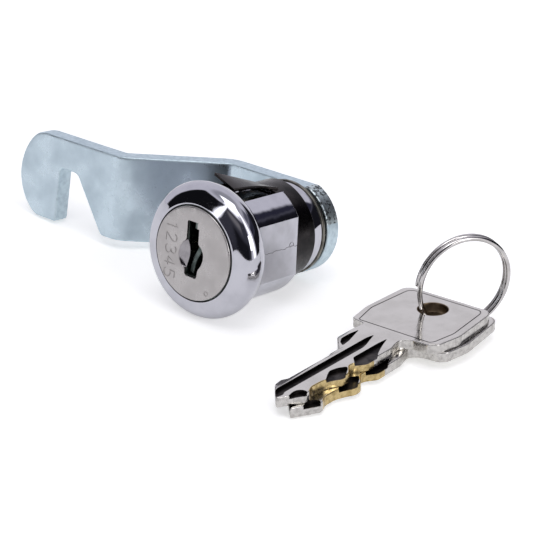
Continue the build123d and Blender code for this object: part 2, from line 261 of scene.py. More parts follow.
class Skin:
    """The surfaces of one piece, gathered in mm in its seat and made into one mesh."""

    def __init__(self, seat: Seat) -> None:
        """Starts an empty skin.

        Args:
            seat: Where its points lie.
        """
        self.seat = seat
        self.points: list[np.ndarray] = []
        self.faces: list[list[int]] = []
        self.slots: list[np.ndarray] = []
        self.count = 0

    def add(self, points: np.ndarray, faces: np.ndarray, slot: Any = 0) -> None:
        """Adds a surface.

        Args:
            points: Its points in the seat, in mm.
            faces: Index rows into those points.
            slot: Material slot of all its faces, or one for each.
        """
        self.points.append(np.asarray(points, float))
        self.faces += (np.asarray(faces) + self.count).tolist()
        self.slots.append(np.broadcast_to(slot, len(faces)).astype(np.int32))
        self.count += len(points)

    def lathe(self, profile: np.ndarray, turns: int = 160, slot: Any = 0) -> None:
        """Carries a closed (radius, depth) profile round the seat's Y axis.

        Args:
            profile: Its points.
            turns: Steps round the axis.
            slot: Material slot, or one for each stretch of the profile.
        """
        angle = np.linspace(0, 2 * np.pi, turns, endpoint=False)[:, None]
        r, y = profile[None, :, 0], profile[None, :, 1]
        grid = np.stack([r * np.cos(angle), np.broadcast_to(y, (turns, len(profile))), r * np.sin(angle)], -1)
        rows = strips(turns + 1, len(profile)) % (turns * len(profile))
        self.add(grid.reshape(-1, 3), rows, np.tile(np.broadcast_to(slot, len(profile)), turns))

    def swing(self, section: np.ndarray, ends: tuple[float, float], steps: int, lift: Any = None) -> None:
        """Carries a closed (radius, depth) section part of the way round the Y axis, with closed ends.

        Args:
            section: Its points.
            ends: First and last angle in degrees.
            steps: Sections along the way.
            lift: Function of the angle in radians that adds to the radius.
        """
        angle = np.radians(np.linspace(*ends, steps))[:, None]
        r, y = section[None, :, 0] + (lift(angle) if lift else 0.0), section[None, :, 1]
        grid = np.stack([r * np.cos(angle), np.broadcast_to(y, (steps, len(section))), r * np.sin(angle)], -1)
        self.add(grid.reshape(-1, 3), strips(steps, len(section)))
        fan, triangles = sheet([section])
        for end in (angle[0, 0], angle[-1, 0]):
            self.add(np.stack([fan[:, 0] * np.cos(end), fan[:, 1], fan[:, 0] * np.sin(end)], 1), triangles)

    def sunk_face(self, loops: list[np.ndarray], marks: list[tuple], axis: int, top: float) -> None:
        """A flat face across an axis, with marks pressed into it that have upright walls.

        Args:
            loops: Outline of the face and its holes.
            marks: Groups of (shapes, shift, slot): each shape a list of loops, the shift from the face.
            axis: Index of the axis that the face lies across.
            top: Place of the face on it.
        """
        lines = [loop for shapes, _, _ in marks for shape in shapes for loop in shape]
        points, triangles = sheet(loops, marks=lines)
        middle = points[triangles].mean(1)
        plain = np.ones(len(triangles), bool)
        upper = np.insert(points, axis, top, 1)
        for shapes, shift, slot in marks:
            sunk = np.any([inside(middle, shape) for shape in shapes], 0)
            lower = np.insert(points, axis, top + shift, 1)
            self.add(lower, triangles[sunk], slot)
            wall = step_walls(triangles, sunk)
            quads = np.concatenate([wall, wall[:, ::-1] + len(points)], 1)
            self.add(np.concatenate([upper, lower]), quads, slot)
            plain &= ~sunk
        self.add(upper, triangles[plain])

    def piece(self, name: str, body: str, finishes: list, nodes: tuple = ()) -> Any:
        """Makes the mesh object, closes its seams, dresses it and sets it on its body.

        Args:
            name: Name of the object.
            body: CAD body that it rides on.
            finishes: Materials in slot order.
            nodes: CAD nodes that it replaces.

        Returns:
            The object.
        """
        mesh = bpy.data.meshes.new(name)
        mesh.from_pydata(self.seat.put(np.concatenate(self.points)).tolist(), [], self.faces)
        mesh.polygons.foreach_set("material_index", np.concatenate(self.slots))
        shell = bmesh.new()
        shell.from_mesh(mesh)
        bmesh.ops.remove_doubles(shell, verts=shell.verts, dist=WELD)
        bmesh.ops.recalc_face_normals(shell, faces=shell.faces)
        shell.to_mesh(mesh)
        shell.free()
        mesh.shade_smooth()
        mesh.set_sharp_from_angle(angle=math.radians(SHARP_DEGREES))
        for finish in finishes:
            mesh.materials.append(finish)
        made = bpy.data.objects.new(name, mesh)
        bpy.context.scene.collection.objects.link(made)
        weighted = made.modifiers.new("flat_faces", "WEIGHTED_NORMAL")
        weighted.keep_sharp = True
        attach(made, body)
        if nodes:
            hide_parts(*nodes)
        log.info("%s: %d faces on %s", name, len(mesh.polygons), body)
        return made


def bevel(width: float, steps: int = 4) -> np.ndarray:
    """(inset, depth) pairs of a quarter round from a face to its edge."""
    angle = np.linspace(0, np.pi / 2, steps)
    return width * np.stack([1 - np.sin(angle), 1 - np.cos(angle)], 1)


def edge_rings(loop: np.ndarray, width: float, thickness: float) -> list[tuple[np.ndarray, float]]:
    """Rings of a plate's rounded edge from its front face (depth 0) to its rear face.

    Args:
        loop: Outline of the plate.
        width: Size of the rounding.
        thickness: Thickness of the plate.

    Returns:
        Pairs of a plane loop and its depth.
    """
    front = [(inset(loop, move), depth) for move, depth in bevel(width)]
    rear = [(inset(loop, move), thickness - depth) for move, depth in bevel(width)[::-1]]
    return front + rear


# Finishes


class Value:
    """One socket's value in a shader; arithmetic on it adds Math nodes."""

    def __init__(self, graph: Graph, socket: Any) -> None:
        """Wraps an output socket of a graph."""
        self.graph = graph
        self.socket = socket

    def _with(self, operation: str, *values: Any) -> Value:
        """The Math node of an operation on the given values."""
        return self.graph.node("ShaderNodeMath", {"operation": operation}, dict(enumerate(values)))

    def __add__(self, other: Any) -> Value:
        """Sum."""
        return self._with("ADD", self, other)

    __radd__ = __add__

    def __mul__(self, other: Any) -> Value:
        """Product."""
        return self._with("MULTIPLY", self, other)

    __rmul__ = __mul__

    def __sub__(self, other: Any) -> Value:
        """Difference."""
        return self._with("SUBTRACT", self, other)

    def __rsub__(self, other: Any) -> Value:
        """Difference from a number, so that 1 - mask works."""
        return self._with("SUBTRACT", other, self)

    def step(self, low: float, high: float) -> Value:
        """0 below low, 1 above high and a smooth rise between; with low above high, a fall."""
        return self.graph.node(
            "ShaderNodeMapRange",
            {"interpolation_type": "SMOOTHSTEP"},
            {"Value": self, "From Min": low, "From Max": high},
        )


class Graph:
    """A node tree under construction."""

    def __init__(self, tree: Any) -> None:
        """Clears a tree and starts on it."""
        self.tree = tree
        tree.nodes.clear()

    def node(
        self, kind: str, settings: dict | None = None, sockets: dict | None = None, out: Any = 0
    ) -> Value:
        """Adds a node.

        Args:
            kind: Its type.
            settings: Its own settings.
            sockets: Values or links of its inputs, by name or number.
            out: The output that is returned.

        Returns:
            The chosen output.
        """
        made = self.tree.nodes.new(kind)
        for key, value in (settings or {}).items():
            setattr(made, key, value)
        for key, value in (sockets or {}).items():
            if isinstance(value, Value):
                self.tree.links.new(value.socket, made.inputs[key])
            else:
                made.inputs[key].default_value = value
        return Value(self, made.outputs[out]) if len(made.outputs) else Value(self, None)

    def place(self, stretch: Point = (1, 1, 1)) -> Value:
        """Object coordinates in mm, stretched."""
        spot = self.node("ShaderNodeTexCoord", out="Object")
        return self.node("ShaderNodeMapping", None, {"Vector": spot, "Scale": tuple(s / MM for s in stretch)})

    def noise(self, size: float, detail: float = 3, rough: float = 0.5, at: Value | None = None) -> Value:
        """Noise from 0 to 1 with features of about a size in mm."""
        sockets = {"Vector": at or self.place(), "Scale": 1 / size, "Detail": detail, "Roughness": rough}
        return self.node("ShaderNodeTexNoise", None, sockets)

    def mix(self, share: Any, first: Any, second: Any) -> Value:
        """Colour between two colours."""
        sockets = {0: share, 6: rgba(first), 7: rgba(second)}
        return self.node("ShaderNodeMix", {"data_type": "RGBA"}, sockets, out=2)

    def bump(self, height: Value, depth: float, strength: float = 1.0) -> Value:
        """Normal from a height of 0 to 1 that stands for a depth in mm."""
        sockets = {"Height": height, "Distance": depth * MM, "Strength": strength}
        return self.node("ShaderNodeBump", None, sockets)


def rgba(colour: Any) -> Any:
    """A colour with its alpha, or a value as it is."""
    return colour if isinstance(colour, Value) else (*colour, 1.0)


@dataclass(frozen=True)
class Metal:
    """A metal surface: two tones that drift in clouds, a range of gloss, fine grain and small pits."""

    name: str
    tone: Colour
    dark: Colour
    gloss: float
    matte: float
    cloud: float = 3.0
    drift: tuple[float, float] = (0.35, 0.7)
    stretch: Point = (1.0, 1.0, 1.0)
    grain: float = 0.12
    grain_depth: float = 0.004
    pits: float = 0.0
    metallic: float = 1.0
    pit_size: float = 0.35
    pit_share: tuple[float, float] = (0.74, 0.8)
    pit_tone: float = 0.35
    pit_height: float = 2.0
    grain_gloss: float = 0.25

    def paint(self, graph: Graph) -> dict[str, Any]:
        """What the finish feeds to the shader.

        Args:
            graph: The material's graph.

        Returns:
            Values by the shader's socket names.
        """
        where = graph.place(self.stretch)
        cloud = graph.noise(self.cloud, 4, 0.55).step(*self.drift)
        fine = graph.noise(self.grain, 2, 0.6, where)
        colour = graph.mix(cloud, self.tone, self.dark)
        rough = cloud * (self.matte - self.gloss) + self.gloss
        rough = rough + (fine - 0.5) * (self.matte * self.grain_gloss)
        height = fine
        if self.pits:
            spots = graph.noise(self.pit_size, 1, 0.4).step(*self.pit_share)
            colour = graph.mix(spots * self.pits, colour, tuple(self.pit_tone * c for c in self.dark))
            height = fine - spots * self.pit_height
        return {"Base Color": colour, "Roughness": rough, "Normal": graph.bump(height, self.grain_depth)}

    def make(self) -> Any:
        """Builds the material.

        Returns:
            The material.
        """
        material = bpy.data.materials.new(self.name)
        material.use_nodes = True
        graph = Graph(material.node_tree)
        sockets = {"Metallic": self.metallic, **self.paint(graph)}
        shader = graph.node("ShaderNodeBsdfPrincipled", None, sockets)
        graph.node("ShaderNodeOutputMaterial", None, {"Surface": shader})
        return material


@dataclass(frozen=True)
class CastChrome(Metal):
    """Bright chrome over a die casting, which shows as a slow wave under the plating."""

    wave: float = 2.2
    wave_depth: float = 0.02

    def paint(self, graph: Graph) -> dict[str, Any]:
        """The metal's own values, with a slow wave under the fine grain.

        Args:
            graph: The material's graph.

        Returns:
            Values by the shader's socket names.
        """
        values = super().paint(graph)
        slow = graph.noise(self.wave, 1, 0.4)
        fine = graph.noise(self.grain, 2, 0.6)
        height = slow * self.wave_depth + fine * self.grain_depth
        return {**values, "Normal": graph.bump(height, 1.0)}


class Shine(Enum):
    """The finishes of the lock, its keys and its ring."""

    CHROME = CastChrome("chrome_plate", (0.58, 0.58, 0.63), (0.52, 0.52, 0.57), 0.03, 0.08, grain_depth=0.001)
    FLAT = CastChrome("chrome_on_flats", (0.62, 0.62, 0.67), (0.55, 0.55, 0.59), 0.3, 0.4, grain_depth=0.002)
    SEAM = Metal("casting_seam", (0.16, 0.15, 0.16), (0.03, 0.03, 0.035), 0.3, 0.5, cloud=0.6)
    BLACK = Metal(
        "black_spring_steel", (0.045, 0.04, 0.04), (0.014, 0.013, 0.014), 0.2, 0.34, cloud=4.0, pits=0.4,
    )
    SATIN = Metal(
        "satin_nickel", (0.50, 0.48, 0.475), (0.45, 0.43, 0.425), 0.26, 0.34, stretch=(1, 1, 0.15),
        grain_depth=0.0015,
    )
    # Darker tone of the pressed digits and mark: painted shade in the pressed marks.
    PRESSED_SHADE = Metal("pressed_number_painted_shade", (0.42, 0.4, 0.39), (0.33, 0.315, 0.31), 0.3, 0.4, cloud=0.8)
    # Darker lilac-grey tone of the bowl beside the keyway: painted shade and painted reflection in the scoop.
    BOWL_SHADE = Metal("pressed_bowl_painted_shade", (0.36, 0.345, 0.36), (0.3, 0.285, 0.3), 0.12, 0.2, cloud=1.2)
    # Zinc of the plug darkened to a near-black green: painted shade for the plug and ward seen deep in the
    # keyway.
    CORE = Metal("plug_zinc", (0.15, 0.18, 0.17), (0.07, 0.09, 0.085), 0.25, 0.45, cloud=1.2)
    OLIVE = Metal("yellow_steel", (0.24, 0.23, 0.2), (0.11, 0.105, 0.09), 0.3, 0.45, cloud=1.5)
    # Dark steel of the split washer, also used as painted shade: in the housing's recess and in the spacer's
    # gap between stop ring and cam.
    DARK_STEEL_AND_SHADE = Metal("dark_steel", (0.05, 0.05, 0.055), (0.02, 0.02, 0.02), 0.3, 0.5, cloud=1.0)
    ZINC = Metal(
        "zinc_plated_steel", (0.62, 0.73, 0.8), (0.5, 0.605, 0.675), 0.24, 0.4, cloud=5.0, drift=(0.3, 0.8),
        pits=0.25, grain_depth=0.002,
    )
    ZINC_EDGE = Metal("zinc_cut_edge", (0.65, 0.77, 0.83), (0.56, 0.67, 0.73), 0.4, 0.55, 0.8, pits=0.15)
    SHEARED = Metal("sheared_edge", (0.62, 0.7, 0.72), (0.07, 0.08, 0.085), 0.35, 0.5, 0.6, (0.46, 0.6))
    # Brass of the wafers: the hue is the brass's own, the darkness is painted shade inside the plug.
    BRASS_IN_SHADE = Metal("wafer_brass", (0.3, 0.27, 0.17), (0.12, 0.11, 0.08), 0.22, 0.4, cloud=1.0)
    WIRE = Metal("spring_wire", (0.6, 0.6, 0.6), (0.4, 0.4, 0.4), 0.2, 0.35, cloud=0.6)
    NICKEL = Metal(
        "nickel_brass", (0.735, 0.715, 0.675), (0.66, 0.64, 0.6), 0.11, 0.2, cloud=4.0, pits=0.15,
        grain_depth=0.0012,
    )
    RIM = Metal(
        "key_rim", (0.64, 0.62, 0.595), (0.47, 0.455, 0.435), 0.16, 0.34, cloud=0.7, stretch=(1, 1, 0.12),
        grain=0.25,
    )
    # Near-black tone of the milled grooves: painted shade and painted reflection, where the glossy groove
    # walls face each other.
    GROOVE_SHADE = Metal("key_groove_painted_shade", (0.055, 0.048, 0.045), (0.018, 0.016, 0.018), 0.3, 0.5, cloud=1.6, pits=0.3)
    # Darker tone of the bow's border groove: painted shade in the narrow groove.
    LINE_SHADE = Metal("bow_line_painted_shade", (0.3, 0.28, 0.28), (0.2, 0.185, 0.185), 0.3, 0.5, cloud=1.5)
    CUT = Metal(
        "key_cut", (0.64, 0.50, 0.25), (0.40, 0.30, 0.13), 0.2, 0.35, cloud=0.8, stretch=(1, 1, 0.08),
        grain=0.2, grain_depth=0.006,
    )
    # Dark brown of the key's hole wall: brass, darkened as painted shade inside the hole.
    BORE_BRASS_AND_SHADE = Metal("key_hole_wall_brass_and_shade", (0.24, 0.18, 0.12), (0.12, 0.09, 0.06), 0.3, 0.5, cloud=1.0)
    BRIGHT = Metal("bright_steel", (0.64, 0.62, 0.61), (0.48, 0.46, 0.45), 0.06, 0.14, 2.5, grain_depth=0.001)


class Shop:
    """Makes each finish once."""

    def __init__(self) -> None:
        """Starts with no finish made."""
        self.made: dict[Shine, Any] = {}

    def get(self, *shines: Shine) -> list:
        """Looks finishes up, and makes what isn't there yet.

        Args:
            shines: The finishes.

        Returns:
            Their materials, in order.
        """
        for shine in shines:
            if shine not in self.made:
                self.made[shine] = shine.value.make()
        return [self.made[shine] for shine in shines]


# The lock

LOCK_ORIGIN = (5.0044, -10.4515, 11.3160)
LOCK_TILT = 6.7552
CORE_ROLL = -2.3916
HOUSING_ROLL = -6.1716


def lock_seat(roll: float) -> Seat:
    """Seat of the lock's pieces: rolled about its axis, then tipped with its rear down.

    Args:
        roll: Turn about the axis in degrees.

    Returns:
        The seat.
    """
    sr, cr = math.sin(math.radians(roll)), math.cos(math.radians(roll))
    st, ct = math.sin(math.radians(LOCK_TILT)), math.cos(math.radians(LOCK_TILT))
    axes = ((cr, -st * sr, -ct * sr), (0.0, ct, -st), (sr, st * cr, ct * cr))
    return Seat(LOCK_ORIGIN, axes)


def loops_to_space(rings: list[tuple[np.ndarray, float]]) -> np.ndarray:
    """(x, z) loops and their depths as points (x, depth, z)."""
    return np.concatenate([np.stack([loop[:, 0], np.full(len(loop), y), loop[:, 1]], 1) for loop, y in rings])


@dataclass
class Housing:
    """Chromed body: a flange, a double-D barrel with a slot in its top, a neck and a collar."""

    shop: Shop
    barrel_r: float = 9.5
    flat: float = 8.25
    barrel_front: float = 5.3
    barrel_rear: float = 16.0
    flange_r: float = 11.0
    widest: float = 3.2
    flange_rear: float = 5.6
    seat_r: float = 7.74
    seat_floor: float = 2.6
    lip_front: float = 0.3
    lip_width: float = 0.26
    lip_slope: float = 0.35
    dome_by: tuple[float, float] = (0.72, 0.33)
    rim_by: tuple[float, float] = (0.45, 0.66)
    lip_edge: float = 0.06
    foot_out: float = 0.5
    foot_in: float = 0.6
    neck_r: float = 7.45
    collar_front: float = 20.9
    collar_rear: float = 23.1
    collar_r: float = 7.75
    bore_r: float = 6.3
    channel_r: float = 7.5
    channel_front: float = 3.8
    slot_half: float = 4.8
    slot_floor: float = 6.6
    pit_half: float = 3.65
    pit_front: float = 5.4
    pit_rear: float = 15.55
    pit_floor: float = 4.6
    edge: float = 0.22
    wall_edge: float = 0.2
    flat_margin: float = 0.02
    neck_sunk: float = 0.1
    neck_start: float = 0.3
    neck_edge: float = 0.14
    parting_at: float = 0.1
    curl_at: tuple[float, float] = (14.4, 0.45)
    curl_r: float = 0.5
    curl_flat: float = 0.7
    curl_turn: tuple[float, float] = (-60.0, 250.0)
    seam_waves: tuple = ((0.07, 1.9, 0.0), (0.05, 4.3, 1.0), (0.04, 9.7, 0.0))
    seam_ends: tuple[float, float] = (1.0, 0.2)
    seam_half: float = 0.11
    curl_half: float = 0.08
    seam_foot: float = 0.1
    seam_rise: float = 0.05

    def flange(self) -> np.ndarray:
        """Closed profile of the flange: lip, domed front, rounded rim, and back face.

        The dome is an arc with a cone blended in at the lip: depth grows by slope x rise x s x (1 - s)^2.

        Returns:
            (radius, depth) points.
        """
        lip = self.seat_r + self.lip_width
        rise, fall = self.flange_r - lip, self.flange_rear - self.widest
        dome = arc_through(
            (lip, self.lip_front),
            (lip + rise * self.dome_by[0], self.lip_front + (self.widest - self.lip_front) * self.dome_by[1]),
            (self.flange_r, self.widest),
            40,
        )
        share = (dome[:, 0] - lip) / rise
        dome[:, 1] += self.lip_slope * rise * share * (1 - share) ** 2
        rim = arc_through(
            (self.flange_r, self.widest),
            (self.flange_r - self.rim_by[0], self.widest + fall * self.rim_by[1]),
            (self.barrel_r + self.foot_out, self.flange_rear),
            24,
        )
        back = [(self.barrel_r - self.foot_in, self.flange_rear), (self.channel_r, self.flange_rear)]
        back += [(self.channel_r, self.channel_front), (self.bore_r, self.channel_front)]
        front = [(self.bore_r, self.seat_floor), (self.seat_r, self.seat_floor)]
        front += [(self.seat_r, self.lip_front + self.lip_edge)]
        face = [(self.seat_r + self.lip_edge, self.lip_front)]
        return np.concatenate([face, dome, rim[1:], back, front])

    def outline(self) -> np.ndarray:
        """Double-D outline from the slot's right wall round to its left wall.

        Returns:
            (x, z) points.
        """
        up = math.degrees(math.acos(self.slot_half / self.barrel_r))
        low = math.degrees(math.acos(self.flat / self.barrel_r))
        right = arc(self.barrel_r, up, low, 24)
        bottom = arc(self.barrel_r, -low, low - 180, 72)
        left = arc(self.barrel_r, 180 - low, 180 - up, 24)
        wall = [(-self.slot_half, self.slot_floor)]
        run = np.concatenate([[(self.slot_half, self.slot_floor)], right, bottom, left, wall])
        return rounded(run, self.wall_edge, 3, closed=False)

    def barrel(self, skin: Skin) -> None:
        """Outline carried to the rear with a rounded edge, a slot floor with its pit, and a rear face.

        Args:
            skin: The housing's skin.
        """
        loop = self.outline()
        rear = [(inset(loop, move), self.barrel_rear - depth) for move, depth in bevel(self.edge)[::-1]]
        walls = [(loop, self.barrel_front), (loop, self.barrel_rear - self.edge)]
        quads, points = strips(2, len(loop), closed=False), loops_to_space(walls)
        flats = np.abs(points[quads][:, :, 0].mean(1)) > self.flat - self.flat_margin
        skin.add(points, quads, np.where(flats, 1, 0))
        skin.add(loops_to_space(rear), strips(len(rear), len(loop)))
        hole = circle(self.neck_r - self.neck_sunk, 96)
        face, triangles = sheet([rear[-1][0], hole])
        skin.add(np.insert(face, 1, self.barrel_rear, 1), triangles)
        y0, y1, half = self.barrel_front, self.barrel_rear - self.edge, self.slot_half
        frame = np.array([(-half, y0), (half, y0), (half, y1), (-half, y1)])
        pit = np.array([(-1, self.pit_front), (1, self.pit_front), (1, self.pit_rear), (-1, self.pit_rear)])
        pit = pit * (self.pit_half, 1)
        floor, triangles = sheet([frame, pit])
        skin.add(np.insert(floor, 2, self.slot_floor, 1), triangles)
        down = [np.insert(pit, 2, z, 1) for z in (self.slot_floor, self.pit_floor)]
        skin.add(np.concatenate(down), strips(2, 4))

    def neck(self) -> np.ndarray:
        """Closed profile of the neck and the collar.

        Returns:
            (radius, depth) points.
        """
        front, rear = self.barrel_rear - self.neck_start, self.collar_rear
        line = [(self.bore_r, front), (self.neck_r, front), (self.neck_r, self.collar_front)]
        line += [(self.collar_r, self.collar_front), (self.collar_r, rear), (self.bore_r, rear)]
        return rounded(line, self.neck_edge, 5)

    def parting(self, skin: Skin) -> None:
        """Fine casting seam along both flats: its height wanders as a sum of sines, with one curl.

        Args:
            skin: The housing's skin.
        """
        start, end = self.flange_rear + self.seam_ends[0], self.barrel_rear - self.seam_ends[1]
        y = np.linspace(start, end, 160)[:, None]
        wander = sum(size * np.sin(rate * y + shift) for size, rate, shift in self.seam_waves)
        turn = np.radians(np.linspace(*self.curl_turn, 40))[:, None]
        curl_y = self.curl_at[0] + self.curl_r * np.cos(turn)
        curl_z = self.curl_at[1] + self.curl_flat * self.curl_r * np.sin(turn)
        lines = ((y, self.parting_at + wander, self.seam_half), (curl_y, curl_z, self.curl_half))
        for depth, height, half in lines:
            section = np.array([(-self.seam_foot, -half), (self.seam_rise, 0.0), (-self.seam_foot, half)])
            for side in (-1, 1):
                z = height + section[None, :, 1]
                x = np.broadcast_to(side * (self.flat + section[None, :, 0]), z.shape)
                grid = np.stack([x, np.broadcast_to(depth, z.shape), z], -1)
                skin.add(grid.reshape(-1, 3), strips(len(depth), 3), 2)

    def build(self) -> None:
        """Makes the housing as one piece, with the recess for the plug's face painted dark as shade."""
        skin = Skin(lock_seat(HOUSING_ROLL))
        flange = self.flange()
        # The recess round the plug's face, its seat and bore, gets the dark finish: painted shade on chrome.
        recess = (flange[:, 0] <= self.seat_r) & (np.roll(flange[:, 0], -1) <= self.seat_r + self.lip_edge)
        skin.lathe(flange, 240, np.where(recess, 3, 0))
        self.barrel(skin)
        self.parting(skin)
        skin.lathe(self.neck(), 200)
        finishes = self.shop.get(Shine.CHROME, Shine.FLAT, Shine.SEAM, Shine.DARK_STEEL_AND_SHADE)
        skin.piece("housing_shell", "housing", finishes, ("housing",))


@dataclass
class SpringClip:
    """Black sleeve round the neck, open below, with one twisted wing over the slot."""

    shop: Shop
    inner: float = 7.5
    thickness: float = 0.6
    edge: float = 0.18
    front: float = 16.2
    rear: float = 20.85
    first_angle: float = -62.0
    last_angle: float = 242.0
    bulge: float = 0.42
    spread: float = 0.55
    wing_rear: float = 17.2
    wing_front: float = 9.45
    wing_half: float = 2.9
    wing_t: float = 0.5
    wing_sunk: float = 0.15
    wing_edge: float = 0.15
    wing_round: float = 0.2
    wing_steps: int = 40
    high_corner: tuple[float, float] = (-4.0, 10.75)
    low_corner: tuple[float, float] = (0.1, 8.75)
    arch: float = 0.35

    def swell(self, angle: np.ndarray) -> np.ndarray:
        """What the wing's pull adds to the radius: bulge x exp(-((angle - 90 degrees) / spread)^2)."""
        return self.bulge * np.exp(-(((angle - np.pi / 2) / self.spread) ** 2))

    def sleeve(self, skin: Skin) -> None:
        """A rounded section in (radius, depth) carried round the axis, with closed ends.

        Args:
            skin: The clip's skin.
        """
        outer = self.inner + self.thickness
        corners = [(self.inner, self.front), (outer, self.front), (outer, self.rear), (self.inner, self.rear)]
        skin.swing(rounded(corners, self.edge, 5), (self.first_angle, self.last_angle), 150, self.swell)

    def wing(self, skin: Skin) -> None:
        """A rounded section drawn from the root to the front, its right side arched as a half sine.

        Args:
            skin: The clip's skin.
        """
        low = self.inner + self.bulge - self.wing_sunk
        root = np.array([(-self.wing_half, low), (self.wing_half, low)])
        tip = np.array([self.high_corner, self.low_corner]) - (0, self.wing_t)
        unit = rounded([(0, 0), (1, 0), (1, 1), (0, 1)], self.wing_round, 5)
        left = unit[:, 0] < 0.5
        unit[:, 0] = np.where(left, unit[:, 0] * self.wing_edge, 1 - (1 - unit[:, 0]) * self.wing_edge)
        along = np.linspace(0, 1, self.wing_steps)[:, None, None]
        lower = root[None] * (1 - along) + tip[None] * along
        across = lower[:, :1] * (1 - unit[None, :, :1]) + lower[:, 1:] * unit[None, :, :1]
        across[..., 1] += self.arch * (np.sin(along * np.pi)[:, :, 0] * unit[None, :, 0])
        y = self.wing_rear + (self.wing_front - self.wing_rear) * along[:, :, 0]
        z = across[..., 1] + unit[None, :, 1] * self.wing_t
        grid = np.stack([across[..., 0], np.broadcast_to(y, z.shape), z], -1)
        skin.add(grid.reshape(-1, 3), strips(self.wing_steps, len(unit)))
        fan, triangles = sheet([unit])
        order = [int(np.argmin(np.sum((unit - p) ** 2, 1))) for p in fan]
        for end in (0, -1):
            skin.add(grid[end][order], triangles)

    def build(self) -> None:
        """Makes the clip as one piece."""
        skin = Skin(lock_seat(HOUSING_ROLL))
        self.sleeve(skin)
        self.wing(skin)
        black = self.shop.get(Shine.BLACK)
        skin.piece("clip_sleeve_and_wing", "housing", black, ("spring_clip",))


DIGITS = {
    "1": [[(0.12, 0.78), (0.32, 1.0), (0.32, 0.0)]],
    "2": [
        [
            (0.02, 0.78), (0.12, 0.95), (0.3, 1.0), (0.5, 0.93), (0.57, 0.75), (0.5, 0.55), (0.0, 0.0),
            (0.6, 0.0),
        ],
    ],
    "3": [
        [(0.03, 0.87), (0.15, 0.98), (0.32, 1.0), (0.5, 0.92), (0.55, 0.76), (0.48, 0.58), (0.26, 0.53)],
        [(0.26, 0.53), (0.5, 0.46), (0.6, 0.27), (0.52, 0.08), (0.3, 0.0), (0.1, 0.04), (0.0, 0.17)],
    ],
    "4": [[(0.42, 0.0), (0.42, 1.0), (0.0, 0.3), (0.62, 0.3)]],
    "5": [
        [(0.56, 1.0), (0.1, 1.0), (0.06, 0.56), (0.3, 0.63), (0.52, 0.53), (0.6, 0.31)],
        [(0.6, 0.31), (0.5, 0.08), (0.28, 0.0), (0.08, 0.05), (0.0, 0.18)],
    ],
}


def stroke(line: Any, width: float) -> np.ndarray:
    """Outline of a line with a width: its points moved to both sides along their normals.

    Args:
        line: Points of the line.
        width: Distance from side to side.

    Returns:
        A closed loop.
    """
    p = np.asarray(line, float)
    way = np.gradient(p, axis=0)
    side = np.stack([-way[:, 1], way[:, 0]], 1) / np.linalg.norm(way, axis=1, keepdims=True) * width / 2
    return np.concatenate([p + side, (p - side)[::-1]])


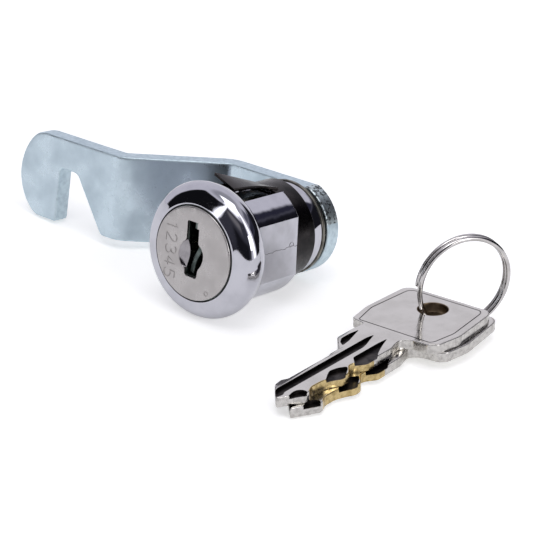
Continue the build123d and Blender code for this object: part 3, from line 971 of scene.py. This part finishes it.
@dataclass
class Face:
    """Satin cap of the plug with the keyway through it and a plain number pressed in."""

    shop: Shop
    radius: float = 7.52
    edge: float = 0.2
    thickness: float = 0.5
    number: str = "12345"
    number_top: float = 4.15
    number_left: float = -5.5
    digit_height: float = 2.2
    digit_pitch: float = 1.96
    stroke_width: float = 0.2
    depth: float = 0.06
    mark_at: tuple[float, float] = (3.4, -5.6)
    mark_r: tuple[float, float] = (0.42, 0.26)
    bowl_depth: float = 0.42
    bowl_wall: float = 0.1
    bowl_sunk: float = 0.03
    bowl_along: int = 40
    bowl_across: int = 14
    bowl_round: float = 0.5
    hole_edge: float = 0.08
    hole_round: float = 0.3
    ledge_depths: tuple[float, float] = (0.42, 1.0)
    ward_depths: tuple[float, float] = (1.2, 2.2)
    block_edge: float = 0.06
    keyway: tuple = (
        (-1.42, 2.0), (-1.45, 5.15), (0.92, 5.12), (1.0, 1.75), (1.75, 1.2), (2.15, 0.35), (2.15, -0.5),
        (1.85, -1.5), (1.25, -2.4), (1.1, -3.85), (-1.3, -3.8), (-1.38, -2.75),
    )
    bowl: tuple = (
        (-1.38, -2.75), (-2.05, -2.3), (-2.55, -1.45), (-2.75, -0.4), (-2.6, 0.55), (-2.1, 1.4), (-1.42, 2.0),
    )
    throat: tuple = (
        (-1.38, -2.75), (-1.05, -1.6), (-0.8, -0.5), (-0.8, 0.3), (-1.0, 1.1), (-1.42, 2.0),
    )
    ledge: tuple = ((0.2, 3.95), (1.1, 3.95), (1.1, 4.95), (0.2, 4.95))
    ward_width: float = 0.8
    ward: tuple = ((0.75, 1.1), (0.35, 0.1), (-0.2, -0.9), (-0.6, -2.2), (-0.75, -3.6))

    def strokes(self) -> list[np.ndarray]:
        """Loops of the number, which reads downwards: along it is -z and its upright is +x.

        Returns:
            One loop for each stroke, as (x, z).
        """
        found = []
        for place, digit in enumerate(self.number):
            for line in DIGITS[digit]:
                run, rise = np.array(line).T
                x = self.number_left + rise * self.digit_height
                z = self.number_top - place * self.digit_pitch - run * self.digit_height
                found.append(stroke(np.stack([x, z], 1).tolist(), self.stroke_width))
        return found

    def scoop(self, skin: Skin) -> None:
        """Bowl beside the keyway: from its rim to the throat its depth grows as a quarter sine.

        Args:
            skin: The cap's skin.
        """
        rim, throat = (rounded(line, self.bowl_round, 5, closed=False) for line in (self.bowl, self.throat))
        ends = []
        for line in (rim, throat):
            run = np.concatenate([[0], np.cumsum(np.linalg.norm(np.diff(line, axis=0), axis=1))])
            at = np.linspace(0, run[-1], self.bowl_along)
            ends.append(np.stack([np.interp(at, run, line[:, k]) for k in (0, 1)], 1)[:, None])
        n = self.bowl_across
        share = np.concatenate([np.linspace(0, 1, n), np.linspace(1, 0, n)])[None, :, None]
        flat = ends[0] * (1 - share) + ends[1] * share
        back = np.repeat((0.0, self.bowl_wall), n)
        sink = self.bowl_sunk + self.bowl_depth * np.sin(share[..., 0] * np.pi / 2) + back
        grid = np.stack([flat[..., 0], np.broadcast_to(sink, flat.shape[:2]), flat[..., 1]], -1)
        # The bowl takes the darker finish: painted shade in the scoop.
        skin.add(grid.reshape(-1, 3), strips(self.bowl_along, 2 * n), 3)

    def block(self, skin: Skin, loop: Any, depths: tuple[float, float], slot: int) -> None:
        """A plate of the core seen through the keyway, with a bevelled front.

        Args:
            skin: The cap's skin.
            loop: Its outline.
            depths: Where it starts and ends.
            slot: Its material slot.
        """
        ring, edge = rounded(loop, 2 * self.block_edge, 4), self.block_edge
        rings = [(ring, depths[1]), (ring, depths[0] + edge), (inset(ring, edge), depths[0])]
        skin.add(loops_to_space(rings), strips(3, len(ring)), slot)
        face, triangles = sheet([rings[-1][0]])
        skin.add(np.insert(face, 1, depths[0], 1), triangles, slot)

    def build(self) -> None:
        """Makes the cap: a front sheet, its rounded rim, the keyway's wall and the pressed digits."""
        skin = Skin(lock_seat(CORE_ROLL))
        rim = circle(self.radius, 192)
        rings = [(inset(rim, move), depth) for move, depth in bevel(self.edge)] + [(rim, self.thickness)]
        hole = rounded(self.keyway + self.bowl[1:-1], self.hole_round, 4)
        holes = [(inset(hole, -move), depth) for move, depth in bevel(self.hole_edge)]
        holes.append((hole, self.thickness))
        shapes = [[mark] for mark in self.strokes()]
        shapes.append([circle(r, 24) + self.mark_at for r in self.mark_r])
        # Digits and mark take the darker finish: painted shade in the pressed marks.
        skin.sunk_face([rings[0][0], holes[0][0]], [(shapes, self.depth, 1)], 1, 0.0)
        skin.add(loops_to_space(rings), strips(len(rings), len(rim)))
        skin.add(loops_to_space(holes), strips(len(holes), len(hole)))
        back, triangles = sheet([rim, hole])
        skin.add(np.insert(back, 1, self.thickness, 1), triangles)
        self.scoop(skin)
        self.block(skin, self.ledge, self.ledge_depths, 0)
        # The ward takes the darkened core finish: painted shade inside the keyway.
        self.block(skin, stroke(self.ward, self.ward_width), self.ward_depths, 2)
        finishes = self.shop.get(Shine.SATIN, Shine.PRESSED_SHADE, Shine.CORE, Shine.BOWL_SHADE)
        skin.piece("face_cap", "plug", finishes, ("plug_face",))


@dataclass
class Washer:
    """Flat ring on the square shank: its hole's radius at an angle is half / max(|cos|, |sin|)."""

    shop: Shop
    name: str
    node: str
    shine: Shine
    radius: float
    front: float
    thickness: float
    half: float = 3.32
    edge: float = 0.12

    def build(self) -> None:
        """Makes the ring from edge rings round the rim and back through the square hole."""
        unit = circle(1.0, 160)
        hole = unit * (self.half / np.abs(unit).max(1))[:, None]
        rim = edge_rings(unit * self.radius, self.edge, self.thickness)
        back = [(hole, self.thickness), (hole, 0.0), rim[0]]
        rings = [(loop, self.front + depth) for loop, depth in rim + back]
        skin = Skin(lock_seat(CORE_ROLL))
        skin.add(loops_to_space(rings), strips(len(rings), len(unit)))
        skin.piece(self.name, "plug", self.shop.get(self.shine), (self.node,))


@dataclass
class Cam:
    """Cranked plate with a hook; its depth follows the front and rear lines of its side view."""

    shop: Shop
    front: float = 24.3
    thickness: float = 3.0
    half: float = 7.35
    hub_r: float = 8.0
    hub_bend: float = -13.35
    tip_bend: float = -26.0
    crank: float = 13.44
    bend_r: float = 1.2
    tip: float = -49.5
    square: float = 3.32
    edge: float = 0.28
    spacing: float = 0.3
    mesh_size: float = 0.42
    mesh_gap: float = 0.25
    hole_gap: float = 1.1
    corner: float = 0.9
    beyond: float = 2.0
    sheared: tuple[float, float] = (2.5, 2.1)

    def outline(self) -> np.ndarray:
        """Outline seen from the front: hub, upper edge, hook, notch and lower edge.

        Returns:
            (x, z) points.
        """
        turn = math.degrees(math.asin(self.half / self.hub_r))
        hub = arc(self.hub_r, -turn, turn, 40)
        hook = [
            (5.5, 7.35), (4.0, 6.95), (3.1, 6.3), (2.0, 5.1), (0.9, 3.2), (0.2, 1.04), (0.0, -1.2),
            (0.5, -3.6), (1.5, -5.55), (2.9, -7.1), (4.2, -7.87), (8.9, -7.87), (9.15, -7.4), (9.6, 1.5),
            (10.0, 1.95), (13.2, 1.95), (13.95, 1.5), (14.5, 0.55), (19.6, -7.0), (20.0, -7.35),
        ]
        run = np.concatenate([hub, np.array(hook) + (self.tip, 0)])
        return resampled(rounded(run, self.corner, 6), self.spacing)

    def side(self, rear: bool) -> np.ndarray:
        """Front or rear line of the side view, its bends rounded as true arcs.

        An arc is the rational quadratic curve of its corner, whose weight is the cosine of half the turn.

        Args:
            rear: Whether it is the rear line.

        Returns:
            (x, y) points from the hub to the tip.
        """
        slope = math.atan2(self.crank, self.hub_bend - self.tip_bend)
        shift = self.thickness * math.tan(slope / 2) if rear else 0.0
        y = self.front + (self.thickness if rear else 0.0)
        hub, tip = np.array([self.hub_bend - shift, y]), np.array([self.tip_bend - shift, y - self.crank])
        wide, tight = self.bend_r + self.thickness, self.bend_r
        line = [np.array([self.hub_r + self.beyond, y])]
        for corner, radius, way in ((hub, wide if rear else tight, 1), (tip, tight if rear else wide, -1)):
            reach = radius * math.tan(slope / 2)
            before = np.array([1.0, 0.0]) if way > 0 else np.array([math.cos(slope), math.sin(slope)])
            after = np.array([-math.cos(slope), -math.sin(slope)]) if way > 0 else np.array([-1.0, 0.0])
            t = np.linspace(0, 1, 14)[:, None]
            start, end = corner + before * reach, corner + after * reach
            weight = math.cos(slope / 2)
            blend = (1 - t) ** 2 * start + 2 * weight * t * (1 - t) * corner + t**2 * end
            line.append(blend / ((1 - t) ** 2 + 2 * weight * t * (1 - t) + t**2))
        line.append(np.array([self.tip - self.beyond, y - self.crank]))
        return np.concatenate([np.atleast_2d(part) for part in line])

    def depth(self, x: np.ndarray, share: Any) -> np.ndarray:
        """Y of a plate point: its share of the way from the front line to the rear line at x.

        Args:
            x: Places along the plate.
            share: 0 on the front, 1 on the rear.

        Returns:
            The Y values.
        """
        front, rear = (self.side(rear)[::-1] for rear in (False, True))
        low, high = np.interp(x, *front.T), np.interp(x, *rear.T)
        return low + (high - low) * share

    def carry(self, loop: np.ndarray, inward: float, rear: bool) -> np.ndarray:
        """Points of a loop just inside the front or the rear surface.

        Args:
            loop: (x, z) points.
            inward: Distance from the surface.
            rear: Whether it is the rear surface.

        Returns:
            Points in space.
        """
        x = loop[:, 0]
        base = self.depth(x, 1.0 if rear else 0.0)
        return np.stack([x, base - inward if rear else base + inward, loop[:, 1]], 1)

    def build(self) -> None:
        """Makes the cam: two curved faces, their rounded edges and the square hole."""
        outline = self.outline()
        square = np.array([(-1, -1), (1, -1), (1, 1), (-1, 1)]) * self.square
        hole = resampled(square, self.mesh_size)
        inner = inset(outline, self.edge)
        gx, gz = (np.arange(low, self.hub_r, self.mesh_size) for low in (self.tip, -self.hub_r))
        gx, gz = np.meshgrid(gx, gz)
        spots = np.stack([gx.ravel(), gz.ravel()], 1)
        clear = inside(spots, [inset(outline, self.edge + self.mesh_gap)])
        clear &= ~inside(spots, [hole * self.hole_gap])
        points, triangles = sheet([inner, hole], spots[clear])
        skin = Skin(lock_seat(CORE_ROLL))
        for rear in (False, True):
            y = self.depth(points[:, 0], 1.0 if rear else 0.0)
            skin.add(np.insert(points, 1, y, 1), triangles)
        quarter = bevel(self.edge)
        rings = [self.carry(inset(outline, move), depth, False) for move, depth in quarter]
        rings += [self.carry(inset(outline, move), depth, True) for move, depth in quarter[::-1]]
        rows = strips(len(rings), len(outline))
        middle = np.concatenate(rings)[rows].mean(1)
        sheared = (middle[:, 0] > self.sheared[0]) & (middle[:, 2] > self.sheared[1])
        skin.add(np.concatenate(rings), rows, np.where(sheared, 2, 1))
        walls = [self.carry(hole, 0.0, rear) for rear in (False, True)]
        skin.add(np.concatenate(walls), strips(2, len(hole)), 1)
        finishes = self.shop.get(Shine.ZINC, Shine.ZINC_EDGE, Shine.SHEARED)
        skin.piece("cam_plate", "plug", finishes, ("cam",))


@dataclass
class Fixing:
    """Cheese-head screw with a hex socket, and the split washer under its head."""

    shop: Shop
    head_front: float = 28.24
    head_rear: float = 30.24
    head_r: float = 4.6
    shaft_r: float = 2.4
    shaft_front: float = 19.3
    socket_flat: float = 1.905
    socket_floor: float = 28.84
    washer_front: float = 27.32
    washer_t: float = 0.9
    washer_r: float = 4.5
    washer_hole: float = 2.55
    washer_gap: float = 4.0
    end_edge: float = 0.3
    head_edge: float = 0.15
    top_edge: float = 0.5
    socket_flare: float = 1.06
    pinhole: float = 0.01

    def screw(self) -> None:
        """Rings up the shaft, over the head and down the socket, whose radius is a hexagon's."""
        angle = np.linspace(0, 2 * np.pi, 145)[:-1]
        unit = np.stack([np.cos(angle), np.sin(angle)], 1)
        face = np.mod(angle, np.pi / 3) - np.pi / 6
        hexagon = unit * (self.socket_flat / np.cos(face))[:, None]
        end, soft, top, near = self.end_edge, self.head_edge, self.top_edge, self.pinhole
        line = [(near, self.shaft_front), (self.shaft_r - end, self.shaft_front)]
        line += [(self.shaft_r, self.shaft_front + end), (self.shaft_r, self.head_front)]
        line += [(self.head_r - soft, self.head_front), (self.head_r, self.head_front + soft)]
        line += [(self.head_r, self.head_rear - top), (self.head_r - soft, self.head_rear - soft)]
        line += [(self.head_r - top, self.head_rear)]
        rings = [(unit * r, y) for r, y in line]
        rings += [(hexagon * self.socket_flare, self.head_rear), (hexagon, self.head_rear - soft)]
        rings += [(hexagon, self.socket_floor), (unit * near, self.socket_floor)]
        skin = Skin(lock_seat(CORE_ROLL))
        skin.add(loops_to_space(rings), strips(len(rings), len(angle)))
        skin.piece("cam_screw_body", "plug", self.shop.get(Shine.ZINC), ("cam_screw",))

    def washer(self) -> None:
        """A rounded section carried round the axis, short of a full turn, with closed ends."""
        rear = self.washer_front + self.washer_t
        corners = [(self.washer_hole, self.washer_front), (self.washer_r, self.washer_front)]
        section = rounded(corners + [(self.washer_r, rear), (self.washer_hole, rear)], self.head_edge, 4)
        skin = Skin(lock_seat(CORE_ROLL))
        skin.swing(section, (self.washer_gap, 360 - self.washer_gap), 110)
        skin.piece("split_washer", "plug", self.shop.get(Shine.DARK_STEEL_AND_SHADE), ("lock_washer",))

    def build(self) -> None:
        """Makes both."""
        self.screw()
        self.washer()


# Keys and ring

KEY_AXES = (
    (0.996797, -0.011004, 0.079217),
    (0.0095976, 0.9997898, 0.0181182),
    (-0.0793994, -0.0172999, 0.9966928),
)


def key_seat(origin: Point, turn: float) -> Seat:
    """Seat of a key: u across the bow, v away from the blade, n up through its face.

    Args:
        origin: Middle of its hole on the upper face.
        turn: Turn about n in degrees.

    Returns:
        The seat.
    """
    u, v, n = (np.array(axis) for axis in KEY_AXES)
    c, s = math.cos(math.radians(turn)), math.sin(math.radians(turn))
    return Seat(origin, (tuple(u * c + v * s), tuple(v * c - u * s), tuple(n)))


@dataclass
class Key:
    """Flat key: a bow with a border line and a hole, and a blade with cuts and milled grooves."""

    shop: Shop
    node: str
    origin: Point
    turn: float
    thickness: float = 1.65
    hole_r: float = 2.4
    edge: float = 0.14
    line_depth: float = 0.08
    pocket_depth: float = 0.55
    corner: float = 0.5
    pocket_corner: float = 0.4
    spacing: float = 0.12
    bow: tuple = (
        (-8.15, -10.1), (-8.95, -5.5), (-8.6, 3.4), (-8.2, 4.2), (-7.3, 4.8), (7.0, 4.8), (7.8, 4.2),
        (8.15, 3.3), (8.95, -5.4), (8.1, -9.9), (7.0, -10.85), (4.3, -10.95), (3.2, -11.5),
        (2.5, -12.4), (2.75, -13.6),
    )
    cuts: tuple = (
        (3.15, -15.0), (3.1, -20.9), (1.75, -22.6), (1.65, -23.5), (3.2, -25.5), (3.2, -26.9), (2.4, -28.1),
        (1.7, -29.8), (1.6, -32.2), (2.2, -33.4), (2.3, -34.2),
    )
    tip: tuple = ((-0.1, -38.0), (-0.35, -38.0), (-3.05, -35.0), (-3.3, -33.2), (-2.75, -32.4))
    back: tuple = (
        (-2.75, -22.6), (-3.0, -22.3), (-3.0, -20.1), (-5.65, -17.1), (-5.65, -13.2), (-5.5, -10.6),
    )
    border: tuple = (
        (-7.0, -10.15), (-8.1, -5.4), (-7.4, 3.3), (-6.5, 4.05), (6.3, 4.05), (6.95, 3.2), (7.8, -5.3),
        (7.1, -9.4), (6.6, -10.15),
    )
    line_width: float = 0.2
    pockets: tuple = (
        (
            (-3.15, -18.9), (-3.4, -17.0), (-3.9, -15.3), (-4.55, -13.0), (-4.9, -14.9), (-4.9, -17.0),
            (-4.2, -18.2),
        ),
        (
            (-2.0, -35.6), (-1.2, -37.8), (-0.4, -38.6), (0.05, -36.7), (-0.35, -36.0), (-0.3, -17.5),
            (-0.6, -16.2), (-1.1, -14.8), (-1.65, -13.0), (-2.0, -14.5),
        ),
        (
            (0.55, -21.1), (2.4, -23.0), (3.4, -22.0), (3.6, -19.3), (2.5, -17.4), (1.6, -15.3),
            (0.75, -12.9), (0.55, -15.0),
        ),
        (
            (0.5, -26.7), (0.95, -27.7), (2.0, -29.5), (3.0, -28.6), (3.3, -26.4), (2.3, -24.6),
            (1.7, -24.0), (0.85, -25.2),
        ),
        ((0.5, -35.1), (0.9, -36.9), (1.9, -36.2), (2.7, -34.6), (2.0, -33.7), (1.2, -33.8), (0.65, -34.3)),
    )
    under: tuple = ((-2.1, -36.0), (-1.3, -36.6), (-1.3, -14.0), (-1.7, -13.2), (-2.1, -14.0))
    brass: tuple[float, float] = (-33.5, -19.3)
    brass_side: float = 1.0

    def build(self) -> None:
        """Makes the key: both faces, the rounded edge, with brass bared at the cuts, and the hole.

        Where a pocket runs out through the edge, the edge's points inside it drop to its floor.
        """
        skin = Skin(key_seat(self.origin, self.turn))
        loop = resampled(rounded(self.bow + self.cuts + self.tip + self.back, self.corner, 5), self.spacing)
        rings = edge_rings(loop, self.edge, self.thickness)
        hole = circle(self.hole_r, 72)
        holes = [(inset(hole, -move), depth) for move, depth in bevel(self.edge)]
        holes += [(ring, self.thickness - depth) for ring, depth in holes[::-1]]
        line = rounded(self.border, self.corner, 5)
        pockets = [rounded(pocket, self.pocket_corner, 4) for pocket in self.pockets]
        # The border groove takes the darker line finish: painted shade.
        marks = [([[line, inset(line, self.line_width)]], -self.line_depth, 4)]
        # The milled grooves take the near-black finish: painted shade in the grooves.
        marks.append(([[pocket] for pocket in pockets], -self.pocket_depth, 1))
        skin.sunk_face([rings[0][0], holes[0][0]], marks, 2, 0.0)
        # The groove under the blade takes the same painted shade.
        under = [([[rounded(self.under, self.pocket_corner, 4)]], self.pocket_depth, 1)]
        skin.sunk_face([rings[-1][0], holes[-1][0]], under, 2, -self.thickness)
        # The edge takes the rim finish; the hole's wall takes the dark brown finish, brass with painted
        # shade.
        for group, slot in ((rings, 5), (holes, 3)):
            stack = np.concatenate([np.insert(ring, 2, -depth, 1) for ring, depth in group])
            quads = strips(len(group), len(group[0][0]))
            open_at = np.any([inside(stack[:, :2], [pocket]) for pocket in pockets], 0)
            stack[open_at, 2] = np.minimum(stack[open_at, 2], -self.pocket_depth)
            middle = stack[quads].mean(1)
            low, high = self.brass
            cut = (middle[:, 0] > self.brass_side) & (middle[:, 1] > low) & (middle[:, 1] < high)
            skin.add(stack, quads, np.where(cut, 2, slot))
        finishes = self.shop.get(Shine.NICKEL, Shine.GROOVE_SHADE, Shine.CUT, Shine.BORE_BRASS_AND_SHADE, Shine.LINE_SHADE, Shine.RIM)
        skin.piece(f"{self.node}_body", self.node, finishes, (self.node,))


@dataclass
class SplitRing:
    """Wire of nearly two turns, whose centre steps sideways once: step x (2 x smooth step - 1)."""

    shop: Shop
    origin: Point = (37.096, 17.457, 8.12)
    azimuth: float = -28.6
    start: float = 180.0
    mid_r: float = 7.7
    wire: float = 0.42
    step: float = -0.44
    first: float = 0.0
    cross: tuple[float, float] = (285.0, 360.0)
    last: float = 645.0
    taper: float = 2.2
    blunt: float = 0.02
    steps: int = 420
    around: int = 20

    def build(self) -> None:
        """Makes the ring: a round section carried along the centre line, with rounded ends."""
        along = np.linspace(self.first, self.last, self.steps)
        ease = np.clip((along - self.cross[0]) / (self.cross[1] - self.cross[0]), 0, 1)
        side = self.step * (2 * ease**2 * (3 - 2 * ease) - 1)
        to_end = np.minimum(along - self.first, self.last - along)
        swell = np.sqrt(np.clip(to_end / self.taper, self.blunt, 1))
        angle = np.radians(along + self.start)[:, None]
        spin = np.linspace(0, 2 * np.pi, self.around, endpoint=False)[None, :]
        r = self.mid_r + self.wire * swell[:, None] * np.cos(spin)
        depth = side[:, None] + self.wire * swell[:, None] * np.sin(spin)
        grid = np.stack([r * np.cos(angle), depth, -r * np.sin(angle)], -1)
        a = math.radians(self.azimuth)
        way = (-math.sin(a), math.cos(a), 0.0)
        seat = Seat(self.origin, (way, (-way[1], way[0], 0.0), (0.0, 0.0, 1.0)))
        skin = Skin(seat)
        skin.add(grid.reshape(-1, 3), strips(self.steps, self.around))
        for end in (grid[0], grid[-1]):
            middle = np.concatenate([end, end.mean(0, keepdims=True)])
            ring = np.arange(self.around)
            skin.add(middle, np.stack([ring, np.roll(ring, -1), np.full(self.around, self.around)], 1))
        skin.piece("split_ring_wire", "key_ring", self.shop.get(Shine.BRIGHT), ("key_ring",))


def dress_nodes(nodes: dict[str, Any], shop: Shop) -> None:
    """Gives the CAD nodes that stay their finishes.

    Args:
        nodes: The frame's nodes by name.
        shop: The maker of finishes.
    """
    # The plug keeps the darkened core finish: painted shade inside the keyway.
    kept = {"plug": Shine.CORE}
    # Wafers take the darkened brass: painted shade inside the plug.
    kept.update({f"wafer_{n}": Shine.BRASS_IN_SHADE for n in range(1, 7)})
    kept.update({f"wafer_spring_{n}": Shine.WIRE for n in range(1, 7)})
    for name, shine in kept.items():
        mesh = nodes[name].data
        mesh.materials.clear()
        mesh.materials.append(shop.get(shine)[0])
        log.info("%s: dressed in %s", name, shine.value.name)


# Studio


@dataclass(frozen=True)
class Panel:
    """A soft-edged panel of the room, between two azimuths and two elevations in degrees."""

    azimuth: tuple[float, float]
    elevation: tuple[float, float]
    tone: Colour
    soft: float = 3.0
    lean: float = 0.0

    def share(self, azimuth: Value, elevation: Value) -> Value:
        """Product of four smooth steps: 1 inside the panel and 0 outside it.

        Args:
            azimuth: Direction round the room in degrees.
            elevation: Height of the direction in degrees.

        Returns:
            The panel's share of the tone.
        """
        across = azimuth - elevation * self.lean
        share = across.step(self.azimuth[0] - self.soft, self.azimuth[0] + self.soft)
        share = share * across.step(self.azimuth[1] + self.soft, self.azimuth[1] - self.soft)
        share = share * elevation.step(self.elevation[0] - self.soft, self.elevation[0] + self.soft)
        return share * elevation.step(self.elevation[1] + self.soft, self.elevation[1] - self.soft)


PANELS = (
    Panel((-200, 200), (62, 100), (0.42, 0.42, 0.46), 8.0),
    Panel((-157, -107), (-7, 50), (0.008, 0.008, 0.01), 2.5),
    Panel((-111, -17), (-4, 53), (0.05, 0.05, 0.065), 4.0),
    Panel((-95, -56), (30, 44), (0.22, 0.21, 0.22), 7.0),
    Panel((-92, -30), (-6, 20), (0.012, 0.012, 0.016), 5.0),
    Panel((-122.2, -115.8), (-13, 58), (2.4, 2.4, 2.5), 1.8, 0.42),
    Panel((-104, -42), (57, 72), (1.7, 1.7, 1.75), 3.5),
    Panel((-3, 13), (-22, 76), (2.2, 2.2, 2.25), 2.0, -0.15),
    Panel((18, 98), (-8, 27), (0.012, 0.012, 0.016), 3.0),
    Panel((18, 76), (25, 42), (0.03, 0.03, 0.05), 3.0),
    Panel((20, 60), (40, 58), (0.14, 0.14, 0.18), 6.0),
)


@dataclass(frozen=True)
class Lamp:
    """A square soft lamp: its place and its side in metres, and its power in watts."""

    name: str
    at: Point
    size: float
    watts: float

    def build(self) -> None:
        """Makes the lamp, aimed at the object."""
        data = bpy.data.lights.new(self.name, "AREA")
        data.shape, data.size, data.energy = "SQUARE", self.size, self.watts
        made = bpy.data.objects.new(self.name, data)
        bpy.context.scene.collection.objects.link(made)
        way = np.array(self.at) / np.linalg.norm(self.at)
        side = np.cross((0, 0, 1), way)
        side = side / np.linalg.norm(side)
        turn = Matrix(np.stack([side, np.cross(way, side), way], 1).tolist()).to_4x4()
        made.matrix_world = Matrix.Translation(self.at) @ turn


LAMPS = (
    Lamp("overhead_lamp", (0.1, -0.15, 0.9), 0.5, 1.6),
    Lamp("side_lamp", (0.75, -0.12, 0.33), 0.3, 0.8),
)


@dataclass
class Studio:
    """Pale floor, soft lamps, a plain room of soft light and the photograph's camera."""

    camera_at: Point = (174.478, -206.521, 134.438)
    right: Point = (0.768461, 0.637825, 0.051438)
    down: Point = (0.312929, -0.304468, -0.899652)
    forward: Point = (-0.55816, 0.707445, -0.433566)
    focal_px: float = 1850.0
    frame_px: float = 533.0
    sensor: float = 36.0
    room_tone: Colour = (0.74, 0.73, 0.80)
    floor_half: float = 3000.0
    floor_below: float = 0.02
    floor_glow: float = 0.5
    floor_mirrored: float = 0.3

    def camera(self) -> None:
        """Places the camera from its three directions, with its focal length in pixels."""
        data = bpy.data.cameras.new("camera")
        data.sensor_width = self.sensor
        data.lens = self.focal_px / self.frame_px * self.sensor
        data.clip_start, data.clip_end = 0.01, 20.0
        made = bpy.data.objects.new("camera", data)
        bpy.context.scene.collection.objects.link(made)
        r, d, f = (np.array(way) for way in (self.right, self.down, self.forward))
        turn = Matrix(np.stack([r, -d, -f], 1).tolist()).to_4x4()
        made.matrix_world = Matrix.Translation([c * MM for c in self.camera_at]) @ turn
        bpy.context.scene.camera = made

    def floor(self) -> None:
        """A wide pale floor that is white to the camera and keeps the object's shadow."""
        mesh = bpy.data.meshes.new("floor")
        corners = np.array([(-1, -1, 0), (1, -1, 0), (1, 1, 0), (-1, 1, 0)]) * self.floor_half
        corners = (corners - (0, 0, self.floor_below)) * MM
        mesh.from_pydata(corners.tolist(), [], [(0, 1, 2, 3)])
        made = bpy.data.objects.new("floor", mesh)
        bpy.context.scene.collection.objects.link(made)
        material = bpy.data.materials.new("pale_floor")
        material.use_nodes = True
        graph = Graph(material.node_tree)
        seen = graph.node("ShaderNodeLightPath", out="Is Camera Ray")
        mirrored = graph.node("ShaderNodeLightPath", out="Is Glossy Ray")
        strength = seen * self.floor_glow + mirrored * self.floor_mirrored
        base = graph.node("ShaderNodeBsdfDiffuse", None, {"Color": (0.8, 0.8, 0.8, 1.0)})
        glow = graph.node("ShaderNodeEmission", None, {"Color": (1, 1, 1, 1), "Strength": strength})
        both = graph.node("ShaderNodeAddShader", None, {0: base, 1: glow})
        graph.node("ShaderNodeOutputMaterial", None, {"Surface": both})
        mesh.materials.append(material)

    def room(self) -> None:
        """Soft room: white to the camera, and pale with darker walls for what reflects."""
        world = bpy.data.worlds.new("room")
        bpy.context.scene.world = world
        world.use_nodes = True
        graph = Graph(world.node_tree)
        seen = graph.node("ShaderNodeLightPath", out="Is Camera Ray")
        way = graph.node("ShaderNodeTexCoord", out="Generated")
        x, y, z = (graph.node("ShaderNodeSeparateXYZ", None, {0: way}, out=axis) for axis in "XYZ")
        azimuth = graph.node("ShaderNodeMath", {"operation": "ARCTAN2"}, {0: y, 1: x}) * math.degrees(1)
        elevation = graph.node("ShaderNodeMath", {"operation": "ARCSINE"}, {0: z}) * math.degrees(1)
        tone = self.room_tone
        for panel in PANELS:
            tone = graph.mix(panel.share(azimuth, elevation), tone, panel.tone)
        colour = graph.mix(seen, tone, (1, 1, 1))
        shader = graph.node("ShaderNodeBackground", None, {"Color": colour, "Strength": 1.0})
        graph.node("ShaderNodeOutputWorld", None, {"Surface": shader})

    def build(self) -> None:
        """Sets up the whole studio."""
        self.camera()
        self.floor()
        self.room()
        for lamp in LAMPS:
            lamp.build()
        bpy.context.scene.view_settings.view_transform = "Standard"


def main() -> None:
    """Loads the frame, builds each sub-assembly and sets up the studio."""
    logging.basicConfig(level=logging.INFO, format="%(message)s")
    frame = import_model()
    shop = Shop()
    parts = [
        Housing(shop),
        SpringClip(shop),
        Face(shop),
        Washer(shop, "stop_ring", "stop_washer", Shine.OLIVE, radius=7.92, front=23.15, thickness=0.6),
        # The spacer's dark finish is painted shade in the narrow gap between the stop ring and the cam.
        Washer(shop, "spacer_ring", "spacer_washer", Shine.DARK_STEEL_AND_SHADE, radius=7.25, front=23.77, thickness=0.5),
        Cam(shop),
        Fixing(shop),
        Key(shop, "key_1", origin=(34.774, 13.199, 4.076), turn=0.0),
        Key(shop, "key_2", origin=(35.268, 14.423, 2.451), turn=1.9),
        SplitRing(shop),
    ]
    for part in parts:
        part.build()
    dress_nodes(frame["nodes"], shop)
    Studio().build()
    bpy.context.view_layer.update()


if __name__ == "__main__":
    main()
